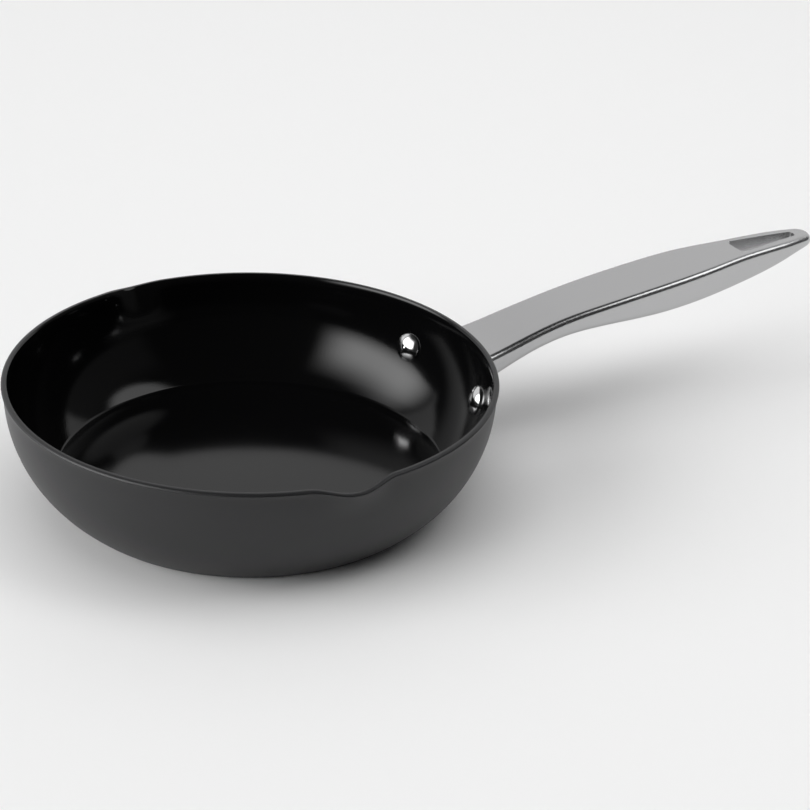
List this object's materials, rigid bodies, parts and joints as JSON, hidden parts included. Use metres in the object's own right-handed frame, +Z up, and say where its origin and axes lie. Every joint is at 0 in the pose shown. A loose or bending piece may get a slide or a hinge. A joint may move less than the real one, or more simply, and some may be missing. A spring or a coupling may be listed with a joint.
{
  "type": "omelette pan",
  "caption": "Small round omelette pan with flared walls, a pouring lip on each side, a non-stick inside and a long hollow riveted handle with a hanging hole.",
  "frame": {"origin": "centre of the underside, on the surface that the pan stands on", "axes": "+Z up, +X along the handle, +Y across; the pan is alike on both sides of the XZ plane"},
  "size_m": [0.3829, 0.2066, 0.06],
  "materials": {
    "pan_outside": "matte dark grey coating",
    "lining": "glossy black non-stick coating",
    "induction_steel": "brushed",
    "bracket_steel": "satin",
    "handle_steel": "satin",
    "rivet_steel": "polished"
  },
  "bodies": {
    "root": {"pan_body": "pan_outside", "nonstick_lining": "lining", "induction_disc": "induction_steel", "handle_bracket": "bracket_steel", "handle_upper_shell": "handle_steel", "handle_lower_shell": "handle_steel", "rivet_left": "rivet_steel", "rivet_right": "rivet_steel"}
  },
  "joints": []
}
